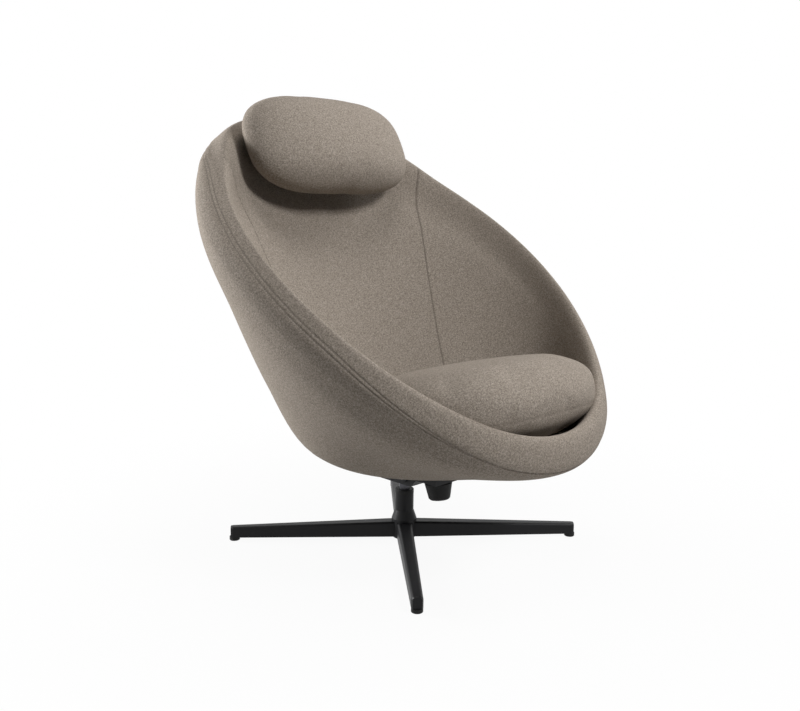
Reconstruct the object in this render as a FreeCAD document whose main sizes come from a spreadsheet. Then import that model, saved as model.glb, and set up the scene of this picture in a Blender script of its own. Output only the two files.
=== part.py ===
import FreeCAD, Part
import math
import os
import Sketcher

# Swivelling lounge chair: a four-legged black base, a tilting seat mechanism,
# a padded bowl shell with a loose seat cushion, and a headrest that slides.
# Millimetres, +Z up, origin on the floor under the column, the front towards -Y.

document = FreeCAD.newDocument("lounge_chair")
table = document.addObject("Spreadsheet::Sheet", "sizes")
table_rows = []


class Size:
    """A length known both as a number and as the table's words for it."""

    def __init__(self, value, words):
        self.value = float(value)
        self.words = words

    def join(self, other, sign, value):
        return Size(value, "(" + self.words + " " + sign + " " + words_of(other) + ")")

    def __add__(self, other):
        return self.join(other, "+", self.value + value_of(other))

    def __sub__(self, other):
        return self.join(other, "-", self.value - value_of(other))

    def __mul__(self, other):
        return self.join(other, "*", self.value * value_of(other))

    def __truediv__(self, other):
        return self.join(other, "/", self.value / value_of(other))

    def __neg__(self):
        return self * -1


def value_of(length):
    return length.value if isinstance(length, Size) else float(length)


def words_of(length):
    return length.words if isinstance(length, Size) else "{:g}".format(length)


def size(name, value):
    """Write one plain number into the table and give it back as a Size."""
    table_rows.append(name)
    row = str(len(table_rows))
    table.set("A" + row, name.replace("_", " "))
    table.set("B" + row, "{:g}".format(value))
    table.setAlias("B" + row, name)
    return Size(value, "sizes." + name)


# Driving dimensions: the tilt axle carries the seat, and the shell gives it its size.
axle_height = size("axle_height", 164)
leg_end_radius = size("leg_end_radius", 388)
shell_front_reach = size("shell_front_reach", 439)
shell_back_reach = size("shell_back_reach", 450)
shell_half_width = size("shell_half_width", 432)
shell_rise = size("shell_rise", 750)

# Clearances and stock thicknesses shared by the pieces.
running_gap = size("running_gap", 0.05)
side_gap = size("side_gap", 0.3)
fabric = size("fabric", 2)
edge_break = size("edge_break", 1)
sheet_steel = size("sheet_steel", 3)
plate_steel = size("plate_steel", 4)

# Base: four tapered legs seated in a hub.
base_turn = size("base_turn", 3.55)
leg_count = 4
glide_height = size("glide_height", 8)
glide_radius = size("glide_radius", 11.5)
glide_stem_radius = size("glide_stem_radius", 4)
glide_stem_height = size("glide_stem_height", 9)
foot_circle_radius = leg_end_radius - size("foot_inset", 8)
leg_seat_radius = size("leg_seat_radius", 22)
leg_root_width = size("leg_root_width", 34)
leg_root_height = size("leg_root_height", 34)
leg_tip_width = size("leg_tip_width", 23)
leg_tip_height = size("leg_tip_height", 23.5)
leg_edge_radius = size("leg_edge_radius", 6.5)
leg_tip_round = size("leg_tip_round", 5)
hub_boss_radius = size("hub_boss_radius", 28)
hub_boss_top = size("hub_boss_top", 48)
hub_tube_radius = size("hub_tube_radius", 21)
hub_flare_height = size("hub_flare_height", 20)
hub_top = axle_height - size("hub_below_axle", 57)
hub_hollow_radius = size("hub_hollow_radius", 18)
web_bottom = size("web_bottom", 44)
web_top = size("web_top", 48)
web_hole_radius = size("web_hole_radius", 6)
cap_radius = size("cap_radius", 26)
cap_bottom = size("cap_bottom", 4)
cap_spigot_height = size("cap_spigot_height", 6)
leg_screw_height = size("leg_screw_height", 25)
leg_screw_radius = size("leg_screw_radius", 4)
leg_screw_depth = size("leg_screw_depth", 18)
leg_screw_head_seat = size("leg_screw_head_seat", 16.6)
leg_screw_head_radius = size("leg_screw_head_radius", 6.5)
leg_screw_head_height = size("leg_screw_head_height", 4.5)

# Column: a steel spindle turning in two plastic sleeves.
spindle_radius = size("spindle_radius", 12)
sleeve_wall = size("sleeve_wall", 3)
collar_radius = size("collar_radius", 21.25)
collar_height = size("collar_height", 9)
thrust_thickness = size("thrust_thickness", 3)
spindle_screw_radius = size("spindle_screw_radius", 5)
spindle_screw_depth = size("spindle_screw_depth", 25)
spindle_washer_radius = size("spindle_washer_radius", 12)
spindle_washer_thickness = size("spindle_washer_thickness", 2)
spindle_head_radius = size("spindle_head_radius", 8)
spindle_head_height = size("spindle_head_height", 5)

# Tilt mechanism: a welded channel on the spindle and a seat plate hinged to it.
housing_bottom = axle_height - size("housing_below_axle", 22)
spindle_top = housing_bottom + size("spindle_in_housing", 16)
housing_half_width = size("housing_half_width", 42)
housing_rear = size("housing_rear", 52)
housing_rear_top = axle_height + size("rear_above_axle", 1)
housing_top = axle_height + size("housing_above_axle", 17)
housing_belly_front = size("housing_belly_front", -60)
nose_bottom = axle_height - size("nose_below_axle", 5)
nose_start = size("nose_start", -76)
nose_front = size("nose_front", -134)
nose_top = axle_height + size("nose_above_axle", 12)
axle_front = size("axle_front", -38)
axle_radius = size("axle_radius", 6)
axle_half_length = size("axle_half_length", 50)
clip_radius = size("clip_radius", 9)
clip_thickness = size("clip_thickness", 1.2)
ear_gap = size("ear_gap", 2)
bush_wall = size("bush_wall", 2)
bush_flange_radius = size("bush_flange_radius", 11)
ear_radius = size("ear_radius", 14)
ear_half_length = size("ear_half_length", 40)
seat_plate_top = axle_height + size("plate_above_axle", 26)
seat_plate_half_width = size("seat_plate_half_width", 75)
seat_plate_front = size("seat_plate_front", -118)
seat_plate_rear = size("seat_plate_rear", 86)
seat_plate_corner = size("seat_plate_corner", 12)
seat_bolt_side = size("seat_bolt_side", 60)
seat_bolt_front = size("seat_bolt_front", -100)
seat_bolt_rear = size("seat_bolt_rear", 68)
seat_bolt_radius = size("seat_bolt_radius", 4)
seat_bolt_head_radius = size("seat_bolt_head_radius", 7)
seat_bolt_head_height = size("seat_bolt_head_height", 5)
bumper_radius = size("bumper_radius", 6)
bumper_side = size("bumper_side", 31)
bumper_front = size("bumper_front", -110)

# Tension adjuster: knob, screw and nut in front of the column, leaning forward.
knob_front = size("knob_front", -105)
knob_lean = size("knob_lean", 7)
knob_bottom = nose_bottom - size("knob_below_nose", 42)
knob_height = size("knob_height", 38)
knob_bottom_radius = size("knob_bottom_radius", 23.5)
knob_top_radius = size("knob_top_radius", 30)
knob_edge_radius = size("knob_edge_radius", 3)
knob_washer_radius = size("knob_washer_radius", 14)
knob_washer_thickness = size("knob_washer_thickness", 2)
tension_screw_radius = size("tension_screw_radius", 5)
tension_screw_bottom = size("tension_screw_bottom", 10)
tension_screw_length = size("tension_screw_length", 52)
nose_hole_radius = size("nose_hole_radius", 8)
nut_bottom = size("nut_bottom", 48)
nut_height = size("nut_height", 9.5)
nut_half_width = size("nut_half_width", 23)
nut_half_depth = size("nut_half_depth", 9)
spring_wire_radius = size("spring_wire_radius", 2.75)
spring_leg_radius = size("spring_leg_radius", 2.5)
spring_mean_radius = size("spring_mean_radius", 14)
spring_front_leg = size("spring_front_leg", 72)
spring_rear_leg = size("spring_rear_leg", 76)
spring_turns = 6
spring_rib_half_width = size("spring_rib_half_width", 4)
spring_rib_front = size("spring_rib_front", 8)
spring_rib_rear = size("spring_rib_rear", 34)

# Seat board inside the bottom of the shell.
board_thickness = size("board_thickness", 15)
board_half_width = size("board_half_width", 112)
board_front = size("board_front", -130)
board_rear = size("board_rear", 124)
board_corner = size("board_corner", 60)
recess_half_width = size("recess_half_width", 84)
recess_front = size("recess_front", -126)
recess_rear = size("recess_rear", 96)
tee_barrel_radius = size("tee_barrel_radius", 5.5)
tee_flange_radius = size("tee_flange_radius", 11)
tee_flange_thickness = size("tee_flange_thickness", 1.5)

solids = {}


def plane_of(body, role):
    return next(item for item in body.Origin.OriginFeatures if item.Role == role)


def new_body(name):
    body = document.addObject("PartDesign::Body", name)
    body.Label = name
    solids[name] = body
    return body


def new_sketch(body, name, role="XY_Plane", at=(0, 0, 0), turn=None):
    sketch = body.newObject("Sketcher::SketchObject", name)
    sketch.AttachmentSupport = (plane_of(body, role), "")
    sketch.MapMode = "FlatFace"
    place = FreeCAD.Vector(*[value_of(step) for step in at])
    sketch.AttachmentOffset = FreeCAD.Placement(place, turn or FreeCAD.Rotation())
    for axis, step in zip("xyz", at):
        if isinstance(step, Size):
            sketch.setExpression("AttachmentOffset.Base." + axis, step.words)
    return sketch


def constrain(sketch, kind, *picks):
    """Add one constraint; a trailing Size also ties it to the table."""
    length = picks[-1] if isinstance(picks[-1], Size) else None
    plain = [value_of(pick) if isinstance(pick, Size) else pick for pick in picks]
    index = sketch.addConstraint(Sketcher.Constraint(kind, *plain))
    if length is not None:
        sketch.setExpression("Constraints[" + str(index) + "]", length.words)
    return index


def pin(sketch, shape, point, across, along):
    """Hold a point at its place from the sketch's origin."""
    for kind, axis, length in (("DistanceX", -2, across), ("DistanceY", -1, along)):
        if value_of(length) == 0:
            constrain(sketch, "PointOnObject", shape, point, axis)
        else:
            constrain(sketch, kind, -1, 1, shape, point, length)


def add_outline(sketch, corners):
    """A closed outline of straight lines through the corners."""
    places = [FreeCAD.Vector(value_of(x), value_of(y), 0) for x, y in corners]
    lines = []
    for start, end in zip(places, places[1:] + places[:1]):
        lines.append(sketch.addGeometry(Part.LineSegment(start, end), False))
    for line, following in zip(lines, lines[1:] + lines[:1]):
        constrain(sketch, "Coincident", line, 2, following, 1)
    for line, (across, along) in zip(lines, corners):
        pin(sketch, line, 1, across, along)


def add_circle(sketch, radius, across=0, along=0):
    centre = FreeCAD.Vector(value_of(across), value_of(along), 0)
    circle = sketch.addGeometry(
        Part.Circle(centre, FreeCAD.Vector(0, 0, 1), value_of(radius)), False)
    constrain(sketch, "Radius", circle, radius)
    pin(sketch, circle, 3, across, along)


def settle(feature):
    document.recompute()
    if feature.Shape.isNull() or not feature.Shape.isValid():
        raise ValueError(feature.Label + " has no sound shape")
    return feature


def pad(body, sketch, length, both_ways=False, backwards=False):
    feature = body.newObject("PartDesign::Pad", sketch.Label + "_pad")
    feature.Profile = sketch
    feature.Length = value_of(length)
    if isinstance(length, Size):
        feature.setExpression("Length", length.words)
    feature.Midplane = both_ways
    feature.Reversed = backwards
    return settle(feature)


def pocket(body, sketch, length, both_ways=False, backwards=False):
    before = body.Shape.Volume
    feature = body.newObject("PartDesign::Pocket", sketch.Label + "_pocket")
    feature.Profile = sketch
    feature.Length = value_of(length)
    if isinstance(length, Size):
        feature.setExpression("Length", length.words)
    feature.Midplane = both_ways
    feature.Reversed = backwards
    settle(feature)
    if not body.Shape.Volume < before:
        raise ValueError(feature.Label + " removes nothing")
    return feature


def turned(body, name, corners, role="XZ_Plane", at=(0, 0, 0), turn=None, cut=False):
    """Turn an outline about its own vertical axis."""
    sketch = new_sketch(body, name + "_outline", role, at, turn)
    add_outline(sketch, corners)
    kind = "PartDesign::Groove" if cut else "PartDesign::Revolution"
    feature = body.newObject(kind, name)
    feature.Profile = sketch
    feature.ReferenceAxis = (sketch, ["V_Axis"])
    feature.Angle = 360
    return settle(feature)


def ring(body, name, inner, outer, bottom, top, **more):
    return turned(body, name, [(inner, bottom), (outer, bottom), (outer, top), (inner, top)], **more)


def disc(body, name, radius, bottom, top, **more):
    return turned(body, name, [(0, bottom), (radius, bottom), (radius, top), (0, top)], **more)


def around(body, feature, count):
    pattern = body.newObject("PartDesign::PolarPattern", feature.Label + "_pattern")
    pattern.Originals = [feature]
    pattern.Axis = (plane_of(body, "Z_Axis"), [""])
    pattern.Angle = 360
    pattern.Occurrences = count
    body.Tip = pattern
    return settle(pattern)


def stand(name, turn_about_z):
    solids[name].Placement = FreeCAD.Placement(
        FreeCAD.Vector(0, 0, 0), FreeCAD.Rotation(FreeCAD.Vector(0, 0, 1), turn_about_z))


# Base hub: tube above, flared boss below with one seat cut for each leg.
base_angle = 45 + base_turn.value
hub = new_body("base_hub")
turned(hub, "hub_form", [
    (hub_hollow_radius, glide_height),
    (hub_boss_radius, glide_height),
    (hub_boss_radius, hub_boss_top),
    (hub_tube_radius, hub_boss_top + hub_flare_height),
    (hub_tube_radius, hub_top),
    (spindle_radius + sleeve_wall, hub_top),
    (spindle_radius + sleeve_wall, web_top),
    (web_hole_radius, web_top),
    (web_hole_radius, web_bottom),
    (hub_hollow_radius, web_bottom),
])
leg_seat = new_sketch(hub, "leg_seat", "YZ_Plane", at=(0, 0, leg_seat_radius))
add_outline(leg_seat, [
    (-(leg_root_width / 2), glide_height),
    (leg_root_width / 2, glide_height),
    (leg_root_width / 2, glide_height + leg_root_height),
    (-(leg_root_width / 2), glide_height + leg_root_height),
])
leg_seat_pocket = pocket(hub, leg_seat, hub_boss_radius, backwards=True)
screw_way = new_sketch(hub, "screw_way", "YZ_Plane", at=(0, 0, leg_seat_radius))
add_circle(screw_way, leg_screw_radius + side_gap, 0, leg_screw_height)
screw_way_pocket = pocket(hub, screw_way, leg_seat_radius - spindle_radius)
seats = hub.newObject("PartDesign::PolarPattern", "leg_seats")
seats.Originals = [leg_seat_pocket, screw_way_pocket]
seats.Axis = (plane_of(hub, "Z_Axis"), [""])
seats.Angle = 360
seats.Occurrences = leg_count
hub.Tip = seats
settle(seats)
stand("base_hub", base_angle)

# Legs: straight beams tapering to the tip, long upper edges rounded.
def add_rounded_top(sketch, width, bottom, height, radius):
    """A beam's cross-section: flat below, two quarter rounds above."""
    side = value_of(width) / 2
    low = value_of(bottom)
    high = low + value_of(height)
    bend = value_of(radius)
    upright = FreeCAD.Vector(0, 0, 1)
    right_centre = FreeCAD.Vector(side - bend, high - bend, 0)
    left_centre = FreeCAD.Vector(bend - side, high - bend, 0)
    sole = sketch.addGeometry(Part.LineSegment(
        FreeCAD.Vector(-side, low, 0), FreeCAD.Vector(side, low, 0)), False)
    right = sketch.addGeometry(Part.LineSegment(
        FreeCAD.Vector(side, low, 0), FreeCAD.Vector(side, high - bend, 0)), False)
    right_round = sketch.addGeometry(Part.ArcOfCircle(
        Part.Circle(right_centre, upright, bend), 0, math.pi / 2), False)
    crown = sketch.addGeometry(Part.LineSegment(
        FreeCAD.Vector(side - bend, high, 0), FreeCAD.Vector(bend - side, high, 0)), False)
    left_round = sketch.addGeometry(Part.ArcOfCircle(
        Part.Circle(left_centre, upright, bend), math.pi / 2, math.pi), False)
    left = sketch.addGeometry(Part.LineSegment(
        FreeCAD.Vector(-side, high - bend, 0), FreeCAD.Vector(-side, low, 0)), False)
    constrain(sketch, "Coincident", sole, 2, right, 1)
    constrain(sketch, "Tangent", right, 2, right_round, 1)
    constrain(sketch, "Tangent", right_round, 2, crown, 1)
    constrain(sketch, "Tangent", crown, 2, left_round, 1)
    constrain(sketch, "Tangent", left_round, 2, left, 1)
    constrain(sketch, "Coincident", left, 2, sole, 1)
    constrain(sketch, "Vertical", right)
    constrain(sketch, "Vertical", left)
    constrain(sketch, "Radius", right_round, radius)
    constrain(sketch, "Equal", right_round, left_round)
    pin(sketch, sole, 1, -(width / 2), bottom)
    pin(sketch, sole, 2, width / 2, bottom)
    constrain(sketch, "DistanceY", -1, 1, crown, 1, bottom + height)


def leg_section(body, name, reach, width, height):
    sketch = new_sketch(body, name, "YZ_Plane", at=(0, 0, reach))
    add_rounded_top(sketch, width, glide_height, height, leg_edge_radius)
    return sketch


leg_names = ["leg_front_left", "leg_rear_left", "leg_rear_right", "leg_front_right"]
glide_names = ["glide_front_left", "glide_rear_left", "glide_rear_right", "glide_front_right"]
leg_angles = [base_angle - 90, base_angle, base_angle + 90, base_angle + 180]
for leg_name, leg_angle in zip(leg_names, leg_angles):
    leg = new_body(leg_name)
    root = leg_section(leg, leg_name + "_root", leg_seat_radius, leg_root_width, leg_root_height)
    tip = leg_section(leg, leg_name + "_tip", leg_end_radius - leg_tip_round,
                      leg_tip_width, leg_tip_height)
    end = leg_section(leg, leg_name + "_end", leg_end_radius,
                      leg_tip_width - leg_tip_round, leg_tip_height)
    beam = leg.newObject("PartDesign::AdditiveLoft", leg_name + "_beam")
    beam.Profile = root
    beam.Sections = [tip, end]
    beam.Ruled = True
    settle(beam)
    thread = new_sketch(leg, leg_name + "_thread", "YZ_Plane", at=(0, 0, leg_seat_radius))
    add_circle(thread, leg_screw_radius, 0, leg_screw_height)
    pocket(leg, thread, leg_screw_depth, backwards=True)
    stem_hole = new_sketch(leg, leg_name + "_stem_hole", at=(0, 0, glide_height))
    add_circle(stem_hole, glide_stem_radius, foot_circle_radius, 0)
    pocket(leg, stem_hole, glide_stem_height, backwards=True)
    stand(leg_name, leg_angle)

# Glides: plastic feet pressed into the underside of each tip.
for glide_name, leg_angle in zip(glide_names, leg_angles):
    glide = new_body(glide_name)
    turned(glide, glide_name + "_form", [
        (0, 0),
        (glide_radius - edge_break, 0),
        (glide_radius, edge_break),
        (glide_radius, glide_height),
        (glide_stem_radius, glide_height),
        (glide_stem_radius, glide_height + glide_stem_height - side_gap),
        (0, glide_height + glide_stem_height - side_gap),
    ], at=(foot_circle_radius, 0, 0))
    stand(glide_name, leg_angle)

# Screws that draw each leg into its seat, put in from the hollow of the hub.
leg_screws = new_body("leg_screws")
head_seat = leg_screw_head_seat
screw_form = turned(leg_screws, "leg_screw", [
    (0, head_seat - leg_screw_head_height),
    (leg_screw_head_radius, head_seat - leg_screw_head_height),
    (leg_screw_head_radius, head_seat),
    (leg_screw_radius, head_seat),
    (leg_screw_radius, leg_seat_radius + leg_screw_depth - side_gap),
    (0, leg_seat_radius + leg_screw_depth - side_gap),
], at=(0, leg_screw_height, 0), turn=FreeCAD.Rotation(FreeCAD.Vector(0, 0, 1), -90))
around(leg_screws, screw_form, leg_count)
stand("leg_screws", base_angle)

# Cap that closes the hollow of the hub from below.
cap = new_body("hub_cap")
turned(cap, "cap_form", [
    (0, cap_bottom),
    (cap_radius - edge_break, cap_bottom),
    (cap_radius, cap_bottom + edge_break),
    (cap_radius, glide_height),
    (hub_hollow_radius, glide_height),
    (hub_hollow_radius, glide_height + cap_spigot_height),
    (hub_hollow_radius - fabric, glide_height + cap_spigot_height),
    (hub_hollow_radius - fabric, glide_height),
    (0, glide_height),
])

# Sleeves: the upper one ends in the black collar seen on top of the tube.
sleeve_bore = spindle_radius + running_gap
sleeve_outside = spindle_radius + sleeve_wall
thrust_top = web_top + thrust_thickness
sleeve_length = (hub_top - thrust_top) / 2.8
lower_sleeve = new_body("lower_sleeve")
ring(lower_sleeve, "lower_sleeve_form", sleeve_bore, sleeve_outside,
     thrust_top, thrust_top + sleeve_length)
upper_sleeve = new_body("upper_sleeve")
turned(upper_sleeve, "upper_sleeve_form", [
    (sleeve_bore, hub_top - sleeve_length),
    (sleeve_outside, hub_top - sleeve_length),
    (sleeve_outside, hub_top),
    (collar_radius, hub_top),
    (collar_radius, hub_top + collar_height - edge_break),
    (collar_radius - edge_break, hub_top + collar_height),
    (sleeve_bore, hub_top + collar_height),
])
thrust = new_body("thrust_washer")
ring(thrust, "thrust_form", web_hole_radius, sleeve_outside - side_gap, web_top, thrust_top)

# Spindle with the screw and washer that keep it from lifting out.
spindle_foot = thrust_top + running_gap
spindle = new_body("spindle")
turned(spindle, "spindle_form", [
    (spindle_screw_radius, spindle_foot),
    (spindle_radius - edge_break, spindle_foot),
    (spindle_radius, spindle_foot + edge_break),
    (spindle_radius, spindle_top),
    (0, spindle_top),
    (0, spindle_foot + spindle_screw_depth),
    (spindle_screw_radius, spindle_foot + spindle_screw_depth),
])
washer_top = web_bottom - running_gap
washer_foot = washer_top - spindle_washer_thickness
spindle_washer = new_body("spindle_washer")
ring(spindle_washer, "spindle_washer_form", spindle_screw_radius, spindle_washer_radius,
     washer_foot, washer_top)
spindle_screw = new_body("spindle_screw")
turned(spindle_screw, "spindle_screw_form", [
    (0, washer_foot - spindle_head_height),
    (spindle_head_radius, washer_foot - spindle_head_height),
    (spindle_head_radius, washer_foot),
    (spindle_screw_radius, washer_foot),
    (spindle_screw_radius, spindle_foot + spindle_screw_depth - side_gap),
    (0, spindle_foot + spindle_screw_depth - side_gap),
])

# Tilt housing: a steel channel welded on the spindle, its nose carrying the knob.
tilt_housing = new_body("tilt_housing")
profile = new_sketch(tilt_housing, "housing_profile", "YZ_Plane")
add_outline(profile, [
    (housing_rear, housing_bottom),
    (housing_rear, housing_rear_top),
    (axle_front, housing_top),
    (nose_start, housing_top),
    (nose_front, nose_top),
    (nose_front, nose_bottom),
    (nose_start, nose_bottom),
    (housing_belly_front, housing_bottom),
])
pad(tilt_housing, profile, housing_half_width * 2, both_ways=True)
hollow = new_sketch(tilt_housing, "housing_hollow", "YZ_Plane")
add_outline(hollow, [
    (housing_rear - sheet_steel, housing_bottom + plate_steel),
    (housing_rear - sheet_steel, seat_plate_top),
    (nose_front + sheet_steel, seat_plate_top),
    (nose_front + sheet_steel, nose_bottom + plate_steel),
    (nose_start, nose_bottom + plate_steel),
    (housing_belly_front, housing_bottom + plate_steel),
])
pocket(tilt_housing, hollow, (housing_half_width - sheet_steel) * 2, both_ways=True)
spindle_hole = new_sketch(tilt_housing, "spindle_hole", at=(0, 0, housing_bottom))
add_circle(spindle_hole, spindle_radius)
pocket(tilt_housing, spindle_hole, plate_steel, backwards=True)
axle_hole = new_sketch(tilt_housing, "axle_hole", "YZ_Plane")
add_circle(axle_hole, axle_radius, axle_front, axle_height)
pocket(tilt_housing, axle_hole, axle_half_length * 2, both_ways=True)
nose_hole = new_sketch(tilt_housing, "nose_hole", at=(0, 0, nose_bottom))
add_circle(nose_hole, nose_hole_radius, 0, knob_front + sheet_steel)
pocket(tilt_housing, nose_hole, plate_steel, backwards=True)

# Tilt axle across the housing, held by a clip at each end.
across_x = FreeCAD.Rotation(FreeCAD.Vector(0, 0, 1), -90)
axle_place = (0, axle_height, -axle_front)
ear_inside = housing_half_width + ear_gap
ear_outside = ear_inside + sheet_steel
axle = new_body("tilt_axle")
disc(axle, "axle_form", axle_radius, -axle_half_length, axle_half_length,
     at=axle_place, turn=across_x)
clips = new_body("axle_clips")
for side, sign in (("right", -1), ("left", 1)):
    ring(clips, "clip_" + side, axle_radius, clip_radius,
         (ear_outside + side_gap) * sign, (ear_outside + side_gap + clip_thickness) * sign,
         at=axle_place, turn=across_x)

# Bushes that line the ears of the seat plate.
for side, sign in (("right", -1), ("left", 1)):
    bush = new_body("tilt_bush_" + side)
    flange = ear_inside - ear_gap + side_gap
    turned(bush, "bush_form_" + side, [
        (axle_radius + running_gap, flange * sign),
        (bush_flange_radius, flange * sign),
        (bush_flange_radius, ear_inside * sign),
        (axle_radius + bush_wall, ear_inside * sign),
        (axle_radius + bush_wall, ear_outside * sign),
        (axle_radius + running_gap, ear_outside * sign),
    ], at=axle_place, turn=across_x)


def add_rounded_box(sketch, half_width, front, rear, corner):
    """An outline of four lines and four quarter rounds."""
    side = value_of(half_width)
    bend = value_of(corner)
    low = value_of(front)
    high = value_of(rear)
    upright = FreeCAD.Vector(0, 0, 1)
    centres = [(side - bend, high - bend), (bend - side, high - bend),
               (bend - side, low + bend), (side - bend, low + bend)]
    rounds = []
    for number, (x, y) in enumerate(centres):
        start = number * math.pi / 2
        arc = Part.ArcOfCircle(Part.Circle(FreeCAD.Vector(x, y, 0), upright, bend),
                               start, start + math.pi / 2)
        rounds.append(sketch.addGeometry(arc, False))
    pairs = list(zip(rounds, rounds[1:] + rounds[:1]))
    straights = []
    for arc, following in pairs:
        start = sketch.getPoint(arc, 2)
        end = sketch.getPoint(following, 1)
        straights.append(sketch.addGeometry(Part.LineSegment(start, end), False))
    for (arc, following), straight, level in zip(pairs, straights, [True, False] * 2):
        constrain(sketch, "Tangent", arc, 2, straight, 1)
        constrain(sketch, "Tangent", straight, 2, following, 1)
        constrain(sketch, "Horizontal" if level else "Vertical", straight)
    for arc in rounds[1:]:
        constrain(sketch, "Equal", rounds[0], arc)
    constrain(sketch, "Radius", rounds[0], corner)
    constrain(sketch, "DistanceY", -1, 1, straights[0], 1, rear)
    constrain(sketch, "DistanceX", -1, 1, straights[1], 1, -half_width)
    constrain(sketch, "DistanceY", -1, 1, straights[2], 1, front)
    constrain(sketch, "DistanceX", -1, 1, straights[3], 1, half_width)


# Seat plate with two ears that swing on the axle.
seat_bolt_places = []
for across in (seat_bolt_side, -seat_bolt_side):
    for along in (seat_bolt_front, seat_bolt_rear):
        seat_bolt_places.append((across, along))
plate_bottom = seat_plate_top - plate_steel
seat_plate = new_body("seat_plate")
plate_outline = new_sketch(seat_plate, "plate_outline", at=(0, 0, plate_bottom))
add_rounded_box(plate_outline, seat_plate_half_width, seat_plate_front, seat_plate_rear,
                seat_plate_corner)
pad(seat_plate, plate_outline, plate_steel)
for side, start in (("right", -ear_outside), ("left", ear_inside)):
    ear = new_sketch(seat_plate, "ear_" + side, "YZ_Plane", at=(0, 0, start))
    add_outline(ear, [
        (axle_front - ear_half_length, plate_bottom),
        (axle_front - ear_radius, axle_height - ear_radius / 2),
        (axle_front - ear_radius / 2, axle_height - ear_radius),
        (axle_front + ear_radius / 2, axle_height - ear_radius),
        (axle_front + ear_radius, axle_height - ear_radius / 2),
        (axle_front + ear_half_length, plate_bottom),
    ])
    pad(seat_plate, ear, sheet_steel)
ear_holes = new_sketch(seat_plate, "ear_holes", "YZ_Plane")
add_circle(ear_holes, axle_radius + bush_wall, axle_front, axle_height)
pocket(seat_plate, ear_holes, ear_outside * 2, both_ways=True)
bolt_holes = new_sketch(seat_plate, "bolt_holes", at=(0, 0, plate_bottom))
for across, along in seat_bolt_places:
    add_circle(bolt_holes, seat_bolt_radius + side_gap, across, along)
pocket(seat_plate, bolt_holes, plate_steel, backwards=True)

# A rib below the plate rests on the rear leg of the tension spring.
coil_half_length = spring_wire_radius * spring_turns
spring_leg_side = coil_half_length - spring_wire_radius
spring_leg_top = axle_height + spring_mean_radius + spring_leg_radius
spring_rib = new_sketch(seat_plate, "spring_rib", at=(0, 0, spring_leg_top + side_gap))
add_outline(spring_rib, [
    (spring_leg_side - spring_rib_half_width, spring_rib_front),
    (spring_leg_side + spring_rib_half_width, spring_rib_front),
    (spring_leg_side + spring_rib_half_width, spring_rib_rear),
    (spring_leg_side - spring_rib_half_width, spring_rib_rear),
])
pad(seat_plate, spring_rib, plate_bottom - spring_leg_top - side_gap)

# Rubber buffers in the nose that meet the seat plate when the seat is upright.
bumpers = new_body("front_bumpers")
bumper_round = new_sketch(bumpers, "bumper_round", at=(0, 0, nose_bottom + plate_steel))
add_circle(bumper_round, bumper_radius, bumper_side, bumper_front)
add_circle(bumper_round, bumper_radius, -bumper_side, bumper_front)
pad(bumpers, bumper_round, plate_bottom - nose_bottom - plate_steel - side_gap)


# Tension adjuster, built upright and then leant forward with its knob.
def lean(name):
    lever = FreeCAD.Rotation(FreeCAD.Vector(1, 0, 0), -knob_lean.value)
    middle = FreeCAD.Vector(0, 0, knob_height.value / 2)
    place = FreeCAD.Vector(0, knob_front.value, knob_bottom.value + knob_height.value / 2)
    solids[name].Placement = FreeCAD.Placement(place - lever.multVec(middle), lever)


knob = new_body("tension_knob")
turned(knob, "knob_form", [
    (0, 0),
    (knob_bottom_radius - knob_edge_radius, 0),
    (knob_bottom_radius, knob_edge_radius),
    (knob_top_radius - running_gap, knob_height - knob_edge_radius),
    (knob_top_radius - knob_edge_radius, knob_height),
    (tension_screw_radius, knob_height),
    (tension_screw_radius, tension_screw_bottom),
    (0, tension_screw_bottom),
])
lean("tension_knob")
tension_screw = new_body("tension_screw")
disc(tension_screw, "screw_form", tension_screw_radius, tension_screw_bottom,
     tension_screw_bottom + tension_screw_length)
lean("tension_screw")
knob_washer = new_body("knob_washer")
ring(knob_washer, "knob_washer_form", tension_screw_radius + running_gap, knob_washer_radius,
     knob_height, knob_height + knob_washer_thickness)
lean("knob_washer")
nut = new_body("tension_nut")
nut_outline = new_sketch(nut, "nut_outline", at=(0, 0, nut_bottom))
add_outline(nut_outline, [
    (-nut_half_width, -nut_half_depth),
    (nut_half_width, -nut_half_depth),
    (nut_half_width, nut_half_depth),
    (-nut_half_width, nut_half_depth),
])
pad(nut, nut_outline, nut_height)
nut_hole = new_sketch(nut, "nut_hole", at=(0, 0, nut_bottom))
add_circle(nut_hole, tension_screw_radius + running_gap)
pocket(nut, nut_hole, nut_height, backwards=True)
lean("tension_nut")

# Tension spring: close-wound coil round the axle, one leg over the nut, one under the plate.
spring = new_body("tension_spring")
valley = spring_mean_radius + spring_wire_radius * 0.5
crest = spring_mean_radius + spring_wire_radius
coil_outline = [(spring_mean_radius - spring_wire_radius, -coil_half_length)]
for number in range(spring_turns):
    turn_start = spring_wire_radius * (2 * number - spring_turns)
    coil_outline.append((valley, turn_start))
    coil_outline.append((crest, turn_start + spring_wire_radius * 0.6))
    coil_outline.append((crest, turn_start + spring_wire_radius * 1.4))
coil_outline.append((valley, coil_half_length))
coil_outline.append((spring_mean_radius - spring_wire_radius, coil_half_length))
turned(spring, "coil", coil_outline, at=axle_place, turn=across_x)
for leg_name, leg_side, leg_length, ahead in (
        ("front_leg", -1, spring_front_leg, False), ("rear_leg", 1, spring_rear_leg, True)):
    leg_round = new_sketch(spring, leg_name, "XZ_Plane", at=(0, 0, -axle_front))
    add_circle(leg_round, spring_leg_radius, spring_leg_side * leg_side,
               axle_height + spring_mean_radius)
    pad(spring, leg_round, leg_length, backwards=ahead)

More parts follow.
